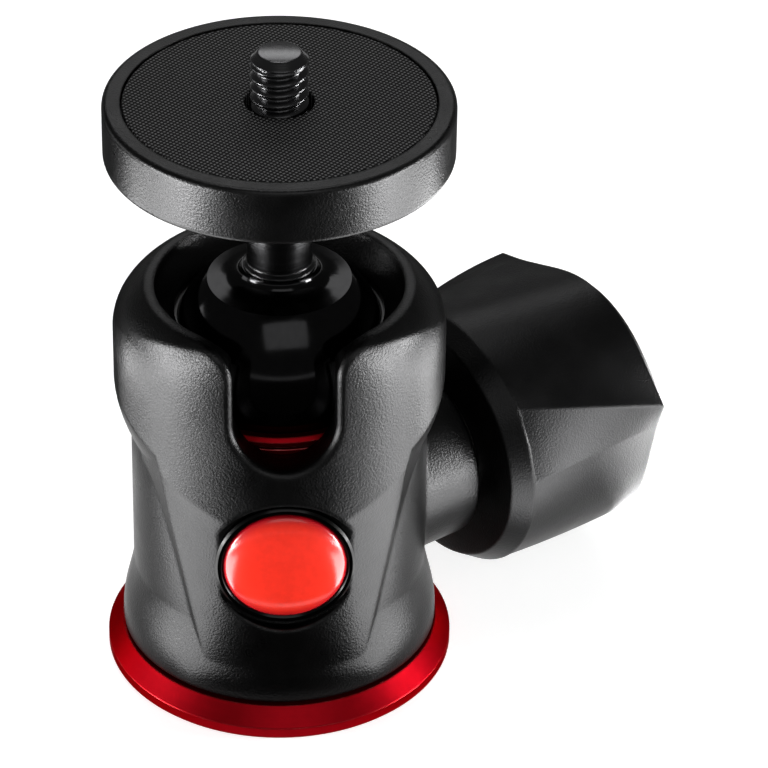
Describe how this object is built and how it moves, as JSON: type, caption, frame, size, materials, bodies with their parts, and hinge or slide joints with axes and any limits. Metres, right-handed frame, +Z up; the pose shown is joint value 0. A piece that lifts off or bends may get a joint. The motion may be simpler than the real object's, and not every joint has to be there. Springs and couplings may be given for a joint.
{
  "type": "tripod ball head",
  "caption": "Compact tripod ball head with a round camera plate, a notched housing, a winged lock knob and a panning base.",
  "frame": {"origin": "middle of the tripod thread at the flat underside of the base", "axes": "+Z up along the head's axis to the camera screw, -Y toward the front notch, the lock knob 34 degrees from +X toward +Y"},
  "size_m": [0.0647, 0.0569, 0.0772],
  "materials": {
    "red_anodised": "red anodised, satin",
    "bright_steel": "turned",
    "black_rubber": "moulded, matt",
    "acetal": "natural acetal",
    "brass": "turned",
    "friction_black": "pressed friction material",
    "bare_aluminium": "machined",
    "housing_coat": "black, fine satin",
    "black_gloss": "gloss",
    "badge_red": "clear domed over red",
    "knob_plastic": "fine spark texture",
    "ball_black": "polished black",
    "stem_grey": "satin",
    "plate_coat": "black, fine texture",
    "screw_dark": "blackened steel"
  },
  "bodies": {
    "base": {"pan_base": "red_anodised", "tripod_insert": "bright_steel", "pan_wiper_ring": "black_rubber", "pan_slip_washer": "acetal"},
    "head": {"housing": "housing_coat", "upper_seat_ring": "acetal", "badge_bezel": "black_gloss", "badge_dome": "badge_red", "spindle_bushing": "brass", "pan_retaining_ring": "brass", "pan_brake_disc": "friction_black", "brake_saddle": "bare_aluminium"},
    "wedge": {"wedge_pin": "bright_steel"},
    "knob": {"lock_spindle": "bright_steel", "thrust_washer": "acetal", "knob_body": "knob_plastic", "knob_screw": "bright_steel", "knob_washer": "bright_steel", "knob_cap": "knob_plastic"},
    "cup": {"lower_cup": "red_anodised"},
    "gimbal": {"stem_cross_pin": "bright_steel"},
    "ball_stem": {"ball": "ball_black", "stem": "stem_grey"},
    "plate": {"camera_plate": "plate_coat", "grip_pad": "black_rubber", "camera_screw": "screw_dark"}
  },
  "joints": [
    {"name": "pan_rotation", "type": "hinge", "parent": "base", "child": "head", "pos_m": [0, 0, 0.0035], "axis": [0, 0, 1], "continuous": true},
    {"name": "wedge_slide", "type": "slide", "parent": "head", "child": "wedge", "axis": [0.829, 0.5592, 0], "range_m": [0, 0.0009374]},
    {"name": "knob_turn", "type": "hinge", "parent": "wedge", "child": "knob", "pos_m": [0, 0, 0.018], "axis": [0.829, 0.5592, 0], "range_deg": [0, 270]},
    {"name": "cup_slide", "type": "slide", "parent": "head", "child": "cup", "axis": [0, 0, 1], "range_m": [-0.000342, 0]},
    {"name": "side_tilt", "type": "hinge", "parent": "head", "child": "gimbal", "pos_m": [0, 0, 0.04], "axis": [0, 1, 0], "range_deg": [-30, 30]},
    {"name": "front_tilt", "type": "hinge", "parent": "gimbal", "child": "ball_stem", "pos_m": [0, 0, 0.04], "axis": [1, 0, 0], "range_deg": [-30, 90]},
    {"name": "plate_turn", "type": "hinge", "parent": "ball_stem", "child": "plate", "pos_m": [0, 0, 0.0648], "axis": [0, 0, 1], "continuous": true}
  ],
  "couplings": [
    {"joint": "knob_turn", "follows": "wedge_slide", "rad_per_m": 5026.5},
    {"joint": "cup_slide", "follows": "wedge_slide", "ratio": -0.36397}
  ]
}
